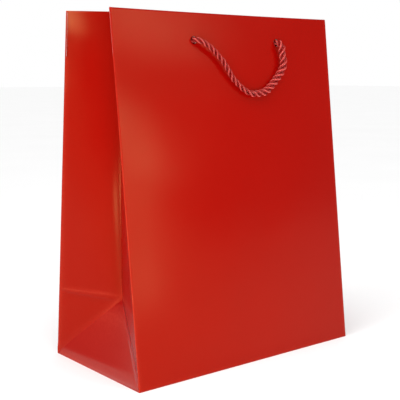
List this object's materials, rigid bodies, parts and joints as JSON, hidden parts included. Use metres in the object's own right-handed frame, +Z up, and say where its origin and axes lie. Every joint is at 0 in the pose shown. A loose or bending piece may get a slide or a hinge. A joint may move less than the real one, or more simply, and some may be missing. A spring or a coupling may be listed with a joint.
{
  "type": "gift bag",
  "caption": "Upright paper gift bag with folded side gussets, a square bottom and two cord handles hanging outside.",
  "frame": {"origin": "middle of the bottom, on the surface that the bag stands on", "axes": "+Z up towards the mouth, front panel faces -Y, width along X"},
  "size_m": [0.2598, 0.1398, 0.3246],
  "materials": {
    "red_laminate": "gloss-laminated red paper, white inside",
    "hem_laminate": "gloss-laminated red paper, turned in",
    "seam_paper": "plain white paper back",
    "grey_card": "uncoated grey card",
    "base_card": "white-lined board",
    "red_cord": "shiny twisted red polypropylene cord"
  },
  "bodies": {
    "base": {"base_board": "base_card", "front_bottom_flap": "red_laminate", "back_bottom_flap": "red_laminate", "left_bottom_flap": "red_laminate", "right_bottom_flap": "red_laminate"},
    "front_wall": {"front_panel": "red_laminate", "front_hem": "hem_laminate", "front_card": "grey_card", "front_left_knot": "red_cord", "front_right_knot": "red_cord"},
    "back_wall": {"back_panel": "red_laminate", "back_hem": "hem_laminate", "back_card": "grey_card", "back_left_knot": "red_cord", "back_right_knot": "red_cord", "seam_tab": "seam_paper"},
    "left_front_gusset_fold": {"left_front_gusset": "red_laminate", "left_front_corner": "red_laminate", "left_front_gusset_hem": "hem_laminate"},
    "left_rear_gusset_fold": {"left_rear_gusset": "red_laminate", "left_rear_corner": "red_laminate", "left_rear_gusset_hem": "hem_laminate"},
    "left_bottom_fold": {"left_bottom_triangle": "red_laminate"},
    "right_front_gusset_fold": {"right_front_gusset": "red_laminate", "right_front_corner": "red_laminate", "right_front_gusset_hem": "hem_laminate"},
    "right_rear_gusset_fold": {"right_rear_gusset": "red_laminate", "right_rear_corner": "red_laminate", "right_rear_gusset_hem": "hem_laminate"},
    "right_bottom_fold": {"right_bottom_triangle": "red_laminate"},
    "front_handle_loop": {"front_handle": "red_cord"},
    "back_handle_loop": {"back_handle": "red_cord"}
  },
  "joints": [
    {"name": "mouth", "type": "hinge", "parent": "base", "child": "front_wall", "pos_m": [0, -0.07, 0], "axis": [-1, 0, 0], "range_deg": [-2.5, 3.5]},
    {"name": "back_wall_fold", "type": "hinge", "parent": "base", "child": "back_wall", "pos_m": [0, 0.07, 0], "axis": [1, 0, 0], "range_deg": [-3, 4]},
    {"name": "left_front_gusset_hinge", "type": "hinge", "parent": "front_wall", "child": "left_front_gusset_fold", "pos_m": [-0.13, -0.0692, 0], "axis": [0, -0.1166, -0.9932], "range_deg": [-13.5, 18.7]},
    {"name": "left_rear_gusset_hinge", "type": "hinge", "parent": "back_wall", "child": "left_rear_gusset_fold", "pos_m": [-0.13, 0.0692, 0], "axis": [0, -0.092, 0.9958], "range_deg": [-13.5, 18.7]},
    {"name": "left_bottom_hinge", "type": "hinge", "parent": "base", "child": "left_bottom_fold", "pos_m": [-0.13, 0, 0.00154], "axis": [0, 1, 0], "range_deg": [-5.8, 7.9]},
    {"name": "right_front_gusset_hinge", "type": "hinge", "parent": "front_wall", "child": "right_front_gusset_fold", "pos_m": [0.13, -0.0692, 0], "axis": [0, 0.1166, 0.9932], "range_deg": [-13.5, 18.7]},
    {"name": "right_rear_gusset_hinge", "type": "hinge", "parent": "back_wall", "child": "right_rear_gusset_fold", "pos_m": [0.13, 0.0692, 0], "axis": [0, 0.092, -0.9958], "range_deg": [-13.5, 18.7]},
    {"name": "right_bottom_hinge", "type": "hinge", "parent": "base", "child": "right_bottom_fold", "pos_m": [0.13, 0, 0.00154], "axis": [0, -1, 0], "range_deg": [-5.8, 7.9]},
    {"name": "front_handle_swing", "type": "hinge", "parent": "front_wall", "child": "front_handle_loop", "pos_m": [0, -0.04087, 0.29965], "axis": [-1, 0, 0], "range_deg": [0, 150]},
    {"name": "back_handle_swing", "type": "hinge", "parent": "back_wall", "child": "back_handle_loop", "pos_m": [0, 0.04827, 0.30028], "axis": [1, 0, 0], "range_deg": [0, 150]}
  ],
  "couplings": [
    {"joint": "back_wall_fold", "follows": "mouth", "ratio": 1},
    {"joint": "left_front_gusset_hinge", "follows": "mouth", "ratio": 5.2},
    {"joint": "left_rear_gusset_hinge", "follows": "mouth", "ratio": 5.2},
    {"joint": "left_bottom_hinge", "follows": "mouth", "ratio": 2.1},
    {"joint": "right_front_gusset_hinge", "follows": "mouth", "ratio": 5.2},
    {"joint": "right_rear_gusset_hinge", "follows": "mouth", "ratio": 5.2},
    {"joint": "right_bottom_hinge", "follows": "mouth", "ratio": 2.1}
  ]
}
